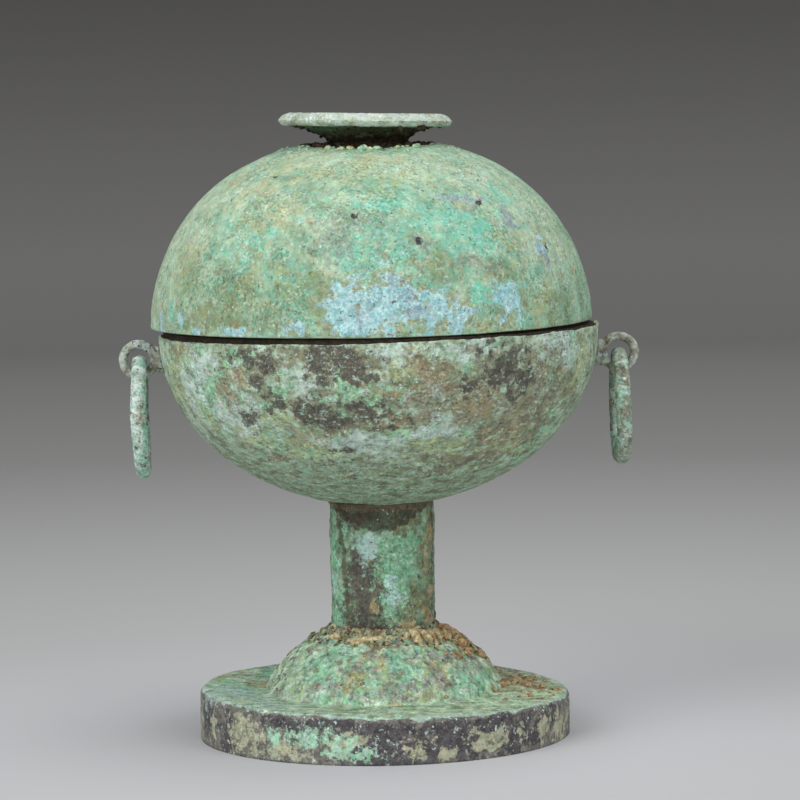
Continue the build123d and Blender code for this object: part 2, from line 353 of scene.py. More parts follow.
class Patina(Nodes):
    """A corroded bronze material: a ground of mixed colours with layers and grains laid over it."""

    def __init__(self, name, size, shades):
        super().__init__(name)
        self.draws = 0
        self.shade = self.ramp(self.noise(size, 6, 0.62), list(zip(GROUND_STOPS, shades)))

    def noise(self, size, detail, roughness=0.6, stretch=(1, 1, 1)):
        """Noise of a size in millimetres, from 0 to 1, different at each call."""
        self.draws += 1
        shift = [step * self.draws for step in NOISE_STEP]
        mapped = self.add("Mapping", {"Vector": self.place, "Location": shift, "Scale": stretch})
        values = {
            "Vector": mapped.outputs[0],
            "Scale": 1 / (size * MM),
            "Detail": detail,
            "Roughness": roughness,
        }
        return self.add("TexNoise", values).outputs["Fac"]

    def cells(self, size):
        """Three random values for each grain of a size in millimetres."""
        scale = 1 / (size * MM)
        shaken = self.add("TexNoise", {"Vector": self.place, "Scale": scale, "Detail": 3.0})
        moved = self.add(
            "VectorMath",
            {0: shaken.outputs["Color"], 1: (size * MM,) * 3, 2: self.place},
            operation="MULTIPLY_ADD",
        )
        parted = self.add("TexVoronoi", {"Vector": moved.outputs[0], "Scale": scale})
        return self.add("SeparateColor", {"Color": parted.outputs["Color"]}).outputs

    def field(self, name):
        return self.add("Attribute", attribute_name=name).outputs["Fac"]

    def map_range(self, value, low, high, bottom=0.0, top=1.0):
        values = {"Value": value, "From Min": low, "From Max": high, "To Min": bottom, "To Max": top}
        return self.add("MapRange", values, interpolation_type="SMOOTHSTEP").outputs[0]

    def mix(self, share, first, second):
        made = self.add("Mix", {0: share, 6: first, 7: second}, data_type="RGBA")
        return made.outputs[2]

    def layer(
        self, first, second, size, level, field=None, gain=0.2, soft=0.04, cover=1.0, stretch=(1, 1, 1)
    ):
        """Lays two mixed colours where ragged noise of a size, raised by a field, passes a level. They
        cover what is below in part or in full, and their edges are more or less soft."""
        fine = self.math("MULTIPLY", self.noise(1.0, 3, 0.7), FINE_SHARE)
        raised = self.math("ADD", self.noise(size, 5, 0.62, stretch), fine)
        if field:
            raised = self.math("MULTIPLY_ADD", self.field(field), gain, raised)
        middle = (1 + FINE_SHARE) / 2 + level
        mask = self.map_range(raised, middle - soft, middle + soft, 0, cover)
        share = self.map_range(self.noise(1.5, 4, 0.7), 0.40, 0.60)
        self.shade = self.mix(mask, self.shade, self.mix(share, colour(first), colour(second)))

    def flecks(self, grain, share, *shades):
        """Tints single grains of a size with one of a few colours, some more than others."""
        cells = self.cells(grain)
        stops = [(place / len(shades), shade) for place, shade in enumerate(shades)]
        tint = self.ramp(cells[0], stops, "CONSTANT")
        self.shade = self.mix(self.math("MULTIPLY", cells[1], share), self.shade, tint)

    def finish(self, rough=(0.72, 0.95), speckle=0.24, mottle=0.14, hue=0.03, bump=0.55):
        """Adds light and dark grains, stronger in some places than in others, roughness and bump,
        and gives the material."""
        cells = self.cells(1.1)
        zone = self.map_range(self.noise(11.0, 3), 0.42, 0.62, 0.5, 1.7)
        tint = self.math("MULTIPLY_ADD", cells[0], hue, 0.5 - hue / 2)
        fine = self.map_range(self.noise(0.8, 3, 0.7), 0.28, 0.72, -speckle, speckle)
        grained = self.math("MULTIPLY_ADD", fine, zone, 1.0)
        broad = self.map_range(self.noise(3.4, 4, 0.65), 0.3, 0.7, 1 - mottle, 1 + mottle)
        value = self.math("MULTIPLY", grained, broad)
        rich = self.math("MULTIPLY_ADD", cells[2], 0.3, 0.84)
        values = {"Hue": tint, "Saturation": rich, "Value": value, "Color": self.shade}
        tinted = self.add("HueSaturation", values)
        height = self.math("MULTIPLY_ADD", self.noise(0.9, 4, 0.65), zone, self.noise(3.2, 3))
        lifted = self.add("Bump", {"Height": height, "Strength": bump, "Distance": 0.6 * MM})
        rough_share = self.map_range(self.noise(2.5, 3), 0.3, 0.7, *rough)
        self.fill(self.shader, {"Base Color": tinted.outputs[0], "Normal": lifted.outputs[0]})
        self.fill(self.shader, {"Roughness": rough_share, "Specular IOR Level": 0.3})
        return self.material


def lid_material():
    patina = Patina("lid_patina", 8.0, [0x74947A, 0x8BAC91, 0x99BAA0, 0xACC4A8])
    patina.layer(0xB8CEB6, 0xA8C2AC, 8.0, 0.04, "pale", soft=0.12, cover=0.75)
    patina.layer(0x62BCA4, 0x82CCB8, 7.0, 0.05, "turquoise", soft=0.14, cover=0.8)
    patina.layer(0xAEA87A, 0x989E72, 5.0, 0.05, "ochre", soft=0.12, cover=0.62)
    patina.layer(0x6C8664, 0x86926A, 9.0, 0.04, "olive", soft=0.12, cover=0.8)
    patina.layer(0xB4B696, 0xBEC496, 3.4, 0.03, "pale", gain=0.06, soft=0.06, cover=0.45)
    patina.layer(0x60AC98, 0x78C0AC, 3.0, 0.10, soft=0.05, cover=0.55)
    patina.layer(0x8E968C, 0x767C74, 2.0, 0.07, "grey", soft=0.07, cover=0.65)
    patina.flecks(1.5, 0.25, 0xB0A876, 0x70C0A4, 0xCEDCC8, 0x6C7C5C, 0xA4CEAA)
    patina.layer(0xA69A6E, 0x867E5A, 2.4, 0.05, "halo", soft=0.07, cover=0.55)
    patina.layer(0x84BEC8, 0xB8DEE6, 3.2, 0.03, "blue", gain=0.22, soft=0.05, cover=0.78)
    patina.layer(0x7A8696, 0x9CAAB4, 2.4, 0.05, "mauve", soft=0.07, cover=0.6)
    patina.layer(0xA49C72, 0x8C8A64, 1.8, 0.15, soft=0.03, cover=0.55)
    patina.layer(0x546450, 0x6A7056, 1.4, 0.14, cover=0.85)
    patina.layer(0xD2E2DA, 0xC2D8CE, 1.3, 0.16, cover=0.7)
    patina.layer(0x3C3E3C, 0x545654, 1.2, 0.14, "pit", gain=0.4)
    # Dark rust on the crown round the knob, which also stands in as painted shade under the knob's disc
    patina.layer(0x34261A, 0x221B14, 2.0, 0.0, "rust", gain=0.4, soft=0.06)
    patina.layer(0x706A56, 0x88866C, 5.0, 0.1, "inside", gain=0.6, cover=0.7)
    return patina.finish()


def bowl_material():
    patina = Patina("bowl_patina", 6.0, [0x7E886E, 0x96A88E, 0xAAC0A6, 0xBCD2C0])
    patina.layer(0x94A07E, 0x8AA688, 7.0, 0.03, "low", soft=0.12, cover=0.6, stretch=(1, 1, 2.5))
    patina.layer(0x7CC0A0, 0xA6D2A4, 4.6, 0.03, "green", soft=0.06, cover=0.88)
    patina.layer(0xB4D2C2, 0xCADAD8, 3.8, 0.03, "pale", soft=0.05, cover=0.85)
    patina.layer(0x746F5A, 0x908C70, 4.2, 0.01, "brown", soft=0.09, cover=0.85)
    patina.layer(0xB6C28E, 0x9EB082, 4.0, 0.04, "yellow", soft=0.06, cover=0.75)
    patina.flecks(1.5, 0.2, 0x7A6A52, 0x8CBE9C, 0xC8D4C6, 0x5C5654, 0x8C8E64)
    patina.layer(0x444342, 0x625E54, 3.0, 0.02, "dark", gain=0.22, soft=0.05, cover=0.88)
    patina.layer(0xA29674, 0x928A6C, 2.8, 0.05, "tan", soft=0.08, cover=0.75)
    patina.layer(0x78746C, 0x5A5854, 3.4, 0.11, stretch=(1, 1, 3), cover=0.6)
    patina.layer(0x7C745C, 0x6C6858, 4.4, 0.09, "low", gain=0.03, stretch=(1, 1, 2.4), cover=0.7)
    patina.layer(0xB6D2C0, 0x96C4A8, 4.0, 0.09, "low", gain=0.03, stretch=(1, 1, 2.8), cover=0.75)
    patina.layer(0x96BE9E, 0xBCCEBC, 2.2, 0.14, cover=0.8)
    patina.layer(0x423E3A, 0x5C584E, 1.6, 0.16, cover=0.9)
    patina.layer(0xCEDED4, 0xB8D0C4, 1.5, 0.16, cover=0.9)
    patina.layer(0x685E48, 0x7E7860, 5.0, 0.1, "inside", gain=0.6, cover=0.75)
    # Painted shade of the gap between the lid and the bowl: dark brown on the ledge under the lid's edge
    patina.layer(0x2A241D, 0x3C3328, 3.0, 0.0, "painted_seam_shade", gain=0.6)
    return patina.finish(mottle=0.22)


def stem_material():
    patina = Patina("stem_patina", 5.0, [0x54614E, 0x677F66, 0x7A9779, 0x90AC91])
    patina.layer(0x6AAC86, 0x92C6A8, 3.2, 0.03, "turquoise", soft=0.08, cover=0.8)
    patina.layer(0xA0C6C4, 0xB6D0CE, 2.6, 0.03, "pale", soft=0.08, cover=0.72)
    patina.layer(0x70684A, 0x8C8862, 3.0, 0.03, "olive", soft=0.07, cover=0.75)
    patina.flecks(1.5, 0.35, 0x605848, 0x78AC90, 0xBACABE, 0x46423A, 0x968864)
    patina.layer(0x46403E, 0x625A52, 2.6, -0.01, "dark", gain=0.24, soft=0.06, cover=0.9)
    # Painted shadow of the bowl, dark over the top of the stem
    patina.layer(0x342E26, 0x484434, 2.6, 0.0, "bowl_shadow", gain=0.25, soft=0.1, cover=0.85)
    patina.layer(0x7C6A54, 0x645A46, 2.6, 0.0, "lip", gain=0.25, soft=0.1, cover=0.7)
    patina.layer(0xAC946E, 0x968260, 2.0, 0.05, "tan", soft=0.05, cover=0.85)
    patina.layer(0xC2D8D2, 0xA8C6BA, 1.5, 0.17, cover=0.8)
    patina.layer(0x3C362E, 0x524E42, 1.5, 0.14, cover=0.85)
    patina.layer(0x423A2E, 0x58503E, 2.0, 0.04, "groove", soft=0.08, cover=0.75)
    return patina.finish(mottle=0.2)


def foot_material():
    patina = Patina("foot_patina", 5.0, [0x7E8C70, 0x9CB094, 0xB2CAAE, 0xC6DAC6])
    patina.layer(0x74B498, 0x96CAB2, 3.4, 0.04, "turquoise", soft=0.07, cover=0.85)
    patina.layer(0xB6A070, 0xA29262, 3.0, 0.05, "ochre", soft=0.07, cover=0.8)
    patina.layer(0x7A7878, 0x989898, 2.6, 0.05, "grey", soft=0.06, cover=0.75)
    patina.layer(0x80C296, 0xA0CE8C, 3.0, 0.09, soft=0.05, cover=0.6)
    patina.flecks(1.5, 0.35, 0xB4A470, 0x76C0A0, 0xCED8CA, 0x4C4A46, 0x9ABE78)
    patina.layer(0x66625F, 0x7E7972, 3.6, -0.02, "edge", gain=0.4, cover=0.95)
    patina.layer(0x423F44, 0x5A5658, 3.2, -0.03, "edge_dark", soft=0.05, cover=0.92)
    patina.layer(0xBAB394, 0xA4B096, 2.6, 0.04, "cream", soft=0.05, cover=0.88)
    patina.layer(0x92C4A2, 0xACD4BC, 2.2, 0.05, "edge_green", soft=0.05, cover=0.88)
    # Painted highlight: a pale line along the top edge of the disc and pale spots on the left of its top
    patina.layer(0x96B8AC, 0xB8CCCE, 2.2, 0.03, "painted_highlight", soft=0.08, cover=0.65)
    patina.layer(0xC8DAD2, 0xAEC6BE, 1.4, 0.14, cover=0.9)
    patina.layer(0x464242, 0x625E5C, 2.4, 0.10, "mound", gain=0.02, soft=0.05, cover=0.62)
    patina.layer(0x685E48, 0x7E7860, 5.0, 0.1, "inside", gain=0.6, cover=0.75)
    return patina.finish(mottle=0.24)


def knob_material():
    patina = Patina("knob_patina", 4.0, [0x92A08E, 0xA8B8A6, 0xB8C8B8, 0xC8D4CA])
    patina.layer(0xC0BA98, 0xB0AE8E, 4.0, 0.05, soft=0.1, cover=0.6)
    patina.layer(0xBACED2, 0xCEDEE0, 3.0, 0.06, soft=0.08, cover=0.6)
    patina.layer(0x565836, 0x404A2E, 3.0, -0.02, "under", soft=0.1, gain=0.3, cover=0.95)
    patina.layer(0x689274, 0x567050, 3.0, 0.06, "under_green", soft=0.1, gain=0.3, cover=0.75)
    patina.layer(0x3E2E20, 0x241C15, 2.6, 0.0, "rust", soft=0.10, gain=0.3, cover=0.95)
    patina.layer(0x60605C, 0x82847E, 1.4, 0.08, "line", gain=0.16, cover=0.75)
    return patina.finish(mottle=0.08)


def finish_wire(patina):
    """Light and dark specks that both rings have."""
    patina.layer(0xD2DCDC, 0xBCCECC, 1.3, 0.12)
    patina.layer(0x484642, 0x64625C, 1.3, 0.13)
    return patina.finish(mottle=0.2)


def left_ring_material():
    # Paler than the right ring: partly its own more turquoise patina, partly painted light
    patina = Patina("left_ring_patina", 3.6, [0x9CA69A, 0xB6CABC, 0xCADCD0, 0xDAE6E0])
    patina.layer(0x7EC4AC, 0x9CD6C2, 4.0, 0.02, soft=0.06, cover=0.75)
    patina.layer(0x948064, 0x686054, 3.0, 0.07, soft=0.06, cover=0.75)
    return finish_wire(patina)


def right_ring_material():
    # Darker and browner than the left ring: partly its own patina, partly painted shade
    patina = Patina("right_ring_patina", 3.6, [0x6C7062, 0x8A9583, 0xA0AC9A, 0xB6C2B4])
    patina.layer(0x82BEA4, 0xA0D2BC, 3.4, 0.03, soft=0.06, cover=0.7)
    patina.layer(0x8C7A5E, 0x6C6252, 3.0, 0.05, soft=0.06, cover=0.75)
    return finish_wire(patina)


def lug_material():
    patina = Patina("lug_patina", 3.6, [0x7A7466, 0x969688, 0xAAB4A6, 0xBEC8BE])
    patina.layer(0x7C644C, 0x605240, 3.0, 0.07, soft=0.06, cover=0.75)
    patina.layer(0xB8CCD4, 0xA4BEBA, 1.8, 0.09)
    patina.layer(0x423C36, 0x5A544C, 1.4, 0.12)
    return patina.finish(mottle=0.2)


def crust_material():
    patina = Patina("rust_crust", 2.0, [0x1C1510, 0x2E2117, 0x422F20, 0x564430])
    patina.layer(0x566C4C, 0x42543C, 1.6, 0.10, cover=0.8)
    return patina.finish()


def soil_material():
    patina = Patina("soil", 1.6, [0x745C42, 0x987A58, 0xB2946E, 0xC8AE88])
    patina.layer(0xB0A07A, 0x968C6A, 2.4, 0.04, "pale_soil")
    patina.layer(0x483A2C, 0x5E4E3A, 1.2, 0.1)
    return patina.finish(hue=0.02, bump=0.9)


def straw_material():
    patina = Patina("straw", 1.6, [0x968460, 0xB2A076, 0xC8B890, 0xD6CAA8])
    return patina.finish(hue=0.02)


def base_material():
    patina = Patina("stem_base", 2.6, [0x524A3C, 0x78705A, 0x949678, 0xB6B08C])
    patina.layer(0x78A488, 0x92BAA0, 2.8, 0.05, cover=0.8)
    patina.layer(0xB0986C, 0x987A54, 2.4, 0.05, cover=0.8)
    patina.layer(0x383026, 0x504638, 1.6, 0.06)
    return patina.finish()


def mint_material():
    patina = Patina("mint_nodules", 2.4, [0x80A88A, 0x9AC0A0, 0xB0D0B2, 0xC8DEC8])
    patina.layer(0xB8AE7A, 0xA09C6A, 2.0, 0.05)
    return patina.finish()


# Lid

LID_PATCHES = {
    "blue": (20, 0.95, [
        (-6, 8, 6, 6), (2, 9, 9, 7), (7, 13, 8, 6.5), (14, 9, 9, 7), (21, 6, 6, 4), (0, 2.5, 10, 2),
        (36, 9, 5, 5), (-19, 2.5, 4, 2.6), (-36, 2, 5, 1.8), (-57, 5, 1.6, 2.4), (-68, 3, 2.4, 4),
        (-48, 1.5, 3, 1.5), (55, 26, 2.4, 3.4),
    ]),
    "grey": (14, 0.8, [
        (-6, 33, 13, 10), (28, 22, 6, 3), (14, 28, 5, 4), (32, 40, 5, 2), (34, 20, 5, 3),
        (47, 36, 3, 4),
    ]),
    "ochre": (18, 0.4, [
        (1, 63, 12, 7), (8, 55, 9, 6), (-33, 61, 10, 7), (-46, 6, 12, 6), (-10, 8, 5, 5),
        (14, 23, 5, 2), (34, 18, 5, 5), (48, 8, 9, 6), (-26, 36, 9, 7), (-15, 57, 9, 7),
        (-43, 48, 8, 8), (30, 2, 12, 2), (-30, 20, 8, 6), (-60, 20, 6, 8), (-62, 52, 5, 5),
        (44, 30, 4, 3),
    ]),
    "turquoise": (20, 0.3, [
        (7, 25, 12, 8), (1, 32, 7, 6), (22, 34, 14, 9), (7, 48, 8, 6), (26, 29, 10, 6),
        (-37, 30, 10, 6), (-15, 9, 8, 6), (34, 33, 8, 8), (-3, 27, 9, 5), (-57, 12, 1.4, 8),
        (-62, 8, 1.2, 5), (40, 14, 12, 9), (-24, 16, 12, 8), (49, 44, 10, 8), (30, 12, 6, 8),
    ]),
    # Some pale spots on the right of the dome, near azimuths 41 to 54, also lighten that side as painted
    # light
    "pale": (24, 0.2, [
        (29, 60, 12, 7), (-10, 23, 7, 4), (-22, 37, 7, 5), (62, 46, 16, 14), (62, 26, 12, 12),
        (-68, 39, 20, 20), (-77, 19, 16, 20), (14, 67, 14, 6), (-30, 66, 12, 6), (50, 52, 12, 6),
        (54, 37, 9, 8), (53, 27, 9, 9), (41, 42, 9, 6),
    ]),
    "mauve": (14, 0.9, [
        (7, 14, 5, 5), (12, 8, 5, 3), (-2, 6, 3, 3), (38, 43, 5, 2), (30, 45, 6, 2), (47, 36, 3, 4),
        (56, 22, 3, 4),
    ]),
    "olive": (22, 0.4, [
        (-50, 10, 14, 9), (-34, 11, 13, 9), (-58, 17, 6, 7), (-22, 15, 9, 5), (40, 17, 8, 6),
        (56, 8, 6, 5), (-12, 14, 8, 6), (-20, 8, 12, 6), (-38, 5, 12, 5), (20, 24, 8, 4),
    ]),
}
LID_PITS = [
    (-4, 38.5, 1.6, 1.6), (14, 29.5, 1.8, 1.8), (38, 42, 1.9, 1.5), (58, 25.5, 1.2, 1.2),
    (-40, 56, 1.3, 1),
]
BLUE_HALO = 0.35
# Reach of the dark rust on the crown, which also serves as painted shade under the knob's disc
RUST_AND_SHADE_RADIUS = 20.0
CROWN_SAG = 0.8
RISE_RIGHT = 1.1
RISE_LEFT = 0.25


def lid_lift(azimuth):
    """How far the lower edge of the lid is raised: most on the right, a little on the left."""
    sideways = np.sin(np.radians(azimuth))
    return np.where(sideways > 0, RISE_RIGHT * sideways**2, -RISE_LEFT * sideways)


def make_lid(material):
    site = turned_site("lid_dome", LID_AXIS_X, columns=620, fine=0.68, coarse=3.0, facing=(1, 1))
    points = site.points
    fields = patches(site, LID_PATCHES, 31)
    fields |= {
        "halo": fields["blue"] + BLUE_HALO,
        "pit": spots(site, LID_PITS),
        # Rust on the crown, also painted shade under the knob's disc
        "rust": 1 - 2 * ease(site.radius, RUST_AND_SHADE_RADIUS - 2, RUST_AND_SHADE_RADIUS + 3) - 2 * site.hidden,
        "inside": np.where(site.hidden, 1.0, -1.0),
    }
    crust = np.clip(0.5 + 0.8 * fractal(points, 18, 3, 41), 0, 1)
    crown = ease(site.radius, 30, 22)
    relief = 0.16 * fractal(points, 30, 2, 42) + 0.08 * fractal(points, 7, 3, 43)
    relief += crust * (0.26 * grains(points, 1.9, 44) + 0.12 * grains(points, 1.2, 45)) - 0.18
    relief += 0.16 * settled(site, fields["blue"], 3, 46)
    relief -= 0.6 * ease(fields["pit"], 0.1, 0.7)
    relief = np.minimum(relief, 0.05)
    relief += crown * (0.35 * grains(points, 2.3, 47) + 0.2 * fractal(points, 5, 2, 49))
    relief = np.where(site.hidden, 0.08 * fractal(points, 9, 2, 48), relief * ease(site.along, -0.5, 1.5))
    site.moved = points + site.normals * relief[:, None]
    rim = site.height.min()
    site.moved[:, 2] += lid_lift(site.azimuth) * ease(site.height, rim + 14, rim)
    front = np.exp(-((site.azimuth / 40) ** 2)) * ease(site.radius, 36, 25) * ease(site.radius, 10, 16)
    site.moved[:, 2] -= CROWN_SAG * front * ~site.hidden
    add_piece("lid_shell", site.moved, site.faces, fields, material, "lid", "lid_bronze", "lid_dome")
    return site


# Knob of the lid, which leans a little to the right

KNOB_TILT = 1.5
KNOB_SHIFT = 0.9
RUST_REACH = 6.5
EDGE_DROP = 1.9
EDGE_RISE = 0.9


def make_knob(material):
    site = turned_site("lid_knob", LID_AXIS_X, columns=340, fine=0.55, coarse=0.55, anchor=(1, 1))
    points = site.points
    low, high = (corner / MM for corner in (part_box("lid_dome")[1].z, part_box("lid_knob")[1].z))
    lifted = site.height - low
    down = -site.normals[:, 2]
    wide = site.radius.max()
    under = np.where((down > 0.2) | (lifted < 0), 1.0, -1.0) - 2 * ease(site.radius, wide - 7, wide - 3)
    not_left = 1.2 * ease(site.azimuth, -40, -5) + ease(-site.azimuth, 100, 140)
    fields = {
        "under": under,
        "under_green": under - not_left - (site.radius < 17),
        "rust": 1 - 2 * ease(lifted, 0.5, RUST_REACH) + 0.4 * fractal(points, 5, 2, 51),
        "line": 1 - np.abs(site.along + 2.4) / 0.5 - 2 * (site.radius < 20) - ease(-site.azimuth, -10, 20),
    }
    relief = 0.14 * fractal(points, 10, 2, 52) + 0.18 * grains(points, 1.6, 53) - 0.16
    relief += 0.3 * ease(down, 0.1, 0.5) * grains(points, 1.9, 54)
    relief = np.minimum(relief, np.where(site.normals[:, 2] > 0.5, 0.0, 0.3)) * (lifted > 0.5)
    site.moved = points + site.normals * relief[:, None]
    inset = wide - site.radius
    drop = EDGE_DROP * np.clip(1 - inset / 5.0, 0, 1) ** 2 * ease(site.height, high - 3.0, high)
    rise = EDGE_RISE * np.clip(1 - inset / 1.8, 0, 1) ** 2 * ease(site.height, high - 2.4, high - 4.0)
    site.moved[:, 2] += rise - drop
    lean = math.tan(math.radians(KNOB_TILT)) * ease(lifted, 0.5, high - low - 4)
    site.moved[:, 2] -= lean * (points[:, 0] - LID_AXIS_X + wide)
    site.moved[:, 0] -= KNOB_SHIFT * ease(lifted, 0, 6)
    add_piece("lid_knob_disc", site.moved, site.faces, fields, material, "lid", "lid_bronze", "lid_knob")
    return site


# Bowl

BOWL_PATCHES = {
    "dark": (14, 0.55, [
        (-10, -5, 10, 3), (-6, -8, 5, 3), (-14, -9, 4, 5), (-6, -11, 6, 2.5), (-30, -6, 4, 5),
        (-34, -12, 3, 3), (35, -5.5, 8, 5), (32, -10.5, 6, 4), (-28, -18, 4, 3), (-12, -22.5, 9, 4),
        (-18, -21, 5, 4), (24, -13, 3, 4), (-38, -25, 3, 4), (-12, -36, 4, 1.2), (0, -23, 8, 4),
        (-3, -21.5, 9, 4), (42, -10, 4, 4), (-36, -5, 4, 3), (38, -17, 5, 3),
    ]),
    "brown": (20, 0.2, [
        (-10, -24, 18, 6.5), (2, -22, 13, 6), (24, -18, 16, 7), (40, -17, 14, 9), (41, -31, 14, 9),
        (20, -19, 12, 6), (-32, -9, 8, 7), (10, -12, 13, 7), (56, -20, 10, 12), (30, -11, 15, 8),
        (-6, -8, 14, 6), (44, -11, 9, 6), (-20, -5, 14, 3), (32, -42, 16, 5), (-45, -15, 5, 5),
        (50, -30, 12, 10),
    ]),
    "tan": (14, 0.6, [
        (9, -6, 4, 5), (10, -10, 4, 4), (-23, -32, 6, 3), (-46, -16, 4, 3), (-36, -40, 5, 2.5),
        (2, -15, 7, 2), (16, -10, 4, 5), (41, -33, 10, 6), (4, -23, 6, 3), (26, -20, 8, 4),
        (-40, -11, 4, 4), (-62, -2, 8, 2),
    ]),
    "green": (16, 0.3, [
        (-24, -7, 5, 5), (-38, -6, 4, 4), (-30, -16, 9, 6), (-8, -15, 14, 4), (4, -14, 6, 4),
        (-52, -15, 10, 12), (24, -5, 10, 4), (56, -12, 6, 14), (6, -29, 16, 5), (-18, -28, 8, 4),
        (59, -36, 8, 12), (-30, -34, 12, 5),
    ]),
    "pale": (16, 0.3, [
        (-52, -7, 6, 5), (-39, -20, 6, 5), (-48, -26, 5, 5), (-10, -33, 18, 4), (16, -28, 8, 4),
        (-18, -14, 6, 3.5), (-4, -15, 2.6, 1.2), (8, -16, 1.5, 1.5), (23, -3, 9, 3), (55, -5, 12, 6),
        (4, -4, 5, 3), (-25, -7, 4, 3), (-60, -15, 6, 8), (14, -14, 4, 3), (-42, -31, 6, 5),
        (2, -32, 12, 3), (-56, -1, 5, 1.5),
    ]),
    "yellow": (16, 0.6, [
        (-31, -23, 9, 4), (-64, -6, 6, 6), (-70, -14, 6, 8), (-40, -33, 10, 4), (66, -10, 6, 10),
        (48, -38, 12, 5), (4, -9, 5, 4), (-22, -36, 8, 3), (20, -36, 10, 4), (-56, -24, 6, 5),
    ]),
}
SEAM_GAP = 1.75
RIM_INSIDE = 60.0
LEDGE_OUTSIDE = 68.4
BELLY_RADIUS = 67.6
SHOULDER_BAND = 9.0
SEAT_HEIGHT = 4.0


def make_bowl(material):
    low, high = (corner.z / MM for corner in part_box("bowl"))
    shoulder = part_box("lid_dome")[0].z / MM - SEAM_GAP
    anchor = (1, (shoulder - low) / (high - low))
    site = turned_site("bowl", 0, columns=620, fine=0.68, coarse=3.0, facing=(1, -1), anchor=anchor)
    points = site.points
    rim = (site.radius > RIM_INSIDE) & (site.height > shoulder - 0.2)
    site.hidden &= ~rim
    outwards = (site.normals[:, :2] * points[:, :2]).sum(1)
    # The ledge under the lid's edge gets painted shade of the gap between lid and bowl, up to a height
    # above the shoulder
    ledge = rim & (site.radius < LEDGE_OUTSIDE) & (outwards > -10)
    above_seat = ease(site.height, shoulder + SEAT_HEIGHT, shoulder + SEAT_HEIGHT + 2)
    fields = patches(site, BOWL_PATCHES, 61) | {
        "low": ease(-site.along, 24, 50) * 2 - 1,
        "inside": np.where(site.hidden | (site.height > shoulder + 2), 1.0, -1.0),
        "painted_seam_shade": np.where(ledge, 1 - 2 * above_seat, -1.0),
    }
    relief = 0.22 * fractal(points, 28, 2, 71) + 0.12 * fractal(points, 6, 3, 72)
    relief += 0.22 * grains(points, 1.8, 73) - 0.20
    relief -= 0.25 * settled(site, np.maximum(fields["brown"], fields["dark"]), 4, 74)
    relief += 0.16 * settled(site, fields["pale"], 3, 75)
    relief = np.where(site.hidden, 0.08 * fractal(points, 9, 2, 76), np.clip(relief, -0.8, 0.1))
    moved = points + site.normals * relief[:, None]
    lift = 0.4 + np.sin(np.radians(site.azimuth)) + 0.2 * fractal(points, 12, 2, 77)
    lift *= ease(site.height, shoulder - SHOULDER_BAND, shoulder)
    moved[:, 2] += lift * (site.radius > BELLY_RADIUS)
    add_piece("bowl_shell", moved, site.faces, fields, material, "vessel", "bowl_bronze", "bowl")


# Stem, with a worn hollow in front between two upright edges

STEM_PATCHES = {
    "olive": (12, 0.4, [(64, 30, 4, 22), (38, 21, 3.5, 6.5), (30, 44, 5, 3)]),
    "pale": (10, 0.7, [(-20, 36, 3.4, 5.5), (12, 22, 2, 3), (-70, 24, 3, 3), (8, 27, 1.6, 1.6)]),
    "dark": (12, 0.2, [
        (-24, 20, 6.5, 10), (-16, 11, 8, 3), (-32, 30, 3, 5), (8, 12, 8, 2), (-30, 46, 5, 3),
    ]),
    "turquoise": (12, 0.2, [
        (18, 30, 8, 12), (4, 38, 6, 5), (-70, 34, 4, 14), (-62, 17, 4, 8), (6, 22, 3, 6),
        (-46, 42, 3, 4), (34, 40, 5, 6),
    ]),
    "tan": (9, 0.8, [
        (-7, 18.5, 2, 1.8), (62, 15, 2.4, 3), (28, 13, 4, 2), (66, 41, 1.8, 3), (70, 23, 1.8, 2),
    ]),
}
HOLLOW_DEPTH = 0.55
# Azimuths of the edges of the hollow, of which the left one leans, and of a groove beside it
LEFT_EDGE = -36
LEFT_LEAN = 0.42
RIGHT_EDGE = 52
SIDE_GROOVE = 74
# Height at which the painted shadow of the bowl on the top of the stem begins, in an arch
BOWL_SHADOW_HEIGHT = 43


def make_stem(material):
    site = turned_site("stem", 0, columns=260, fine=0.5, coarse=4.0, facing=(1, 0))
    points = site.points
    wavering = site.azimuth + 5 * fractal(points, 9, 2, 88)
    from_left = wavering - (LEFT_EDGE - LEFT_LEAN * site.along)
    groove = np.maximum(1 - np.abs(from_left) / 5, 0.8 - np.abs(wavering - SIDE_GROOVE) / 4)
    within = ease(from_left, -4, 4) * ease(wavering - RIGHT_EDGE, 8, -4)
    curve = 4.5 * ((site.azimuth + 5) / 50) ** 2
    # Lower edge of the painted shadow of the bowl: an arch, lowest in front
    bowl_shadow = site.along - BOWL_SHADOW_HEIGHT - curve + 1.5 * fractal(points, 6, 2, 89)
    fields = patches(site, STEM_PATCHES, 79) | {
        "groove": np.clip(groove, -1, 1),
        "bowl_shadow": 2 * ease(bowl_shadow, -2.5, 1.5) - 1,
        "lip": 2 * ease(site.along, 47.5, 50.0) - 1,
    }
    relief = 0.28 * fractal(points, 12, 2, 84) + 0.18 * fractal(points, 4, 3, 85)
    relief += 0.24 * grains(points, 1.9, 86)
    relief -= 0.25 * settled(site, fields["dark"], 3, 87) + 0.1
    relief -= HOLLOW_DEPTH * within + 0.2 * np.clip(groove, 0, 1)
    relief += 0.9 * settled(site, fields["tan"], 3, 78)
    relief = np.where(site.hidden, 0.0, np.clip(relief, -1.5, 0.6))
    moved = points + site.normals * relief[:, None]
    add_piece("stem_column", moved, site.faces, fields, material, "vessel", "stem_bronze", "stem")


# Foot, whose disc is thicker on the left than on the right

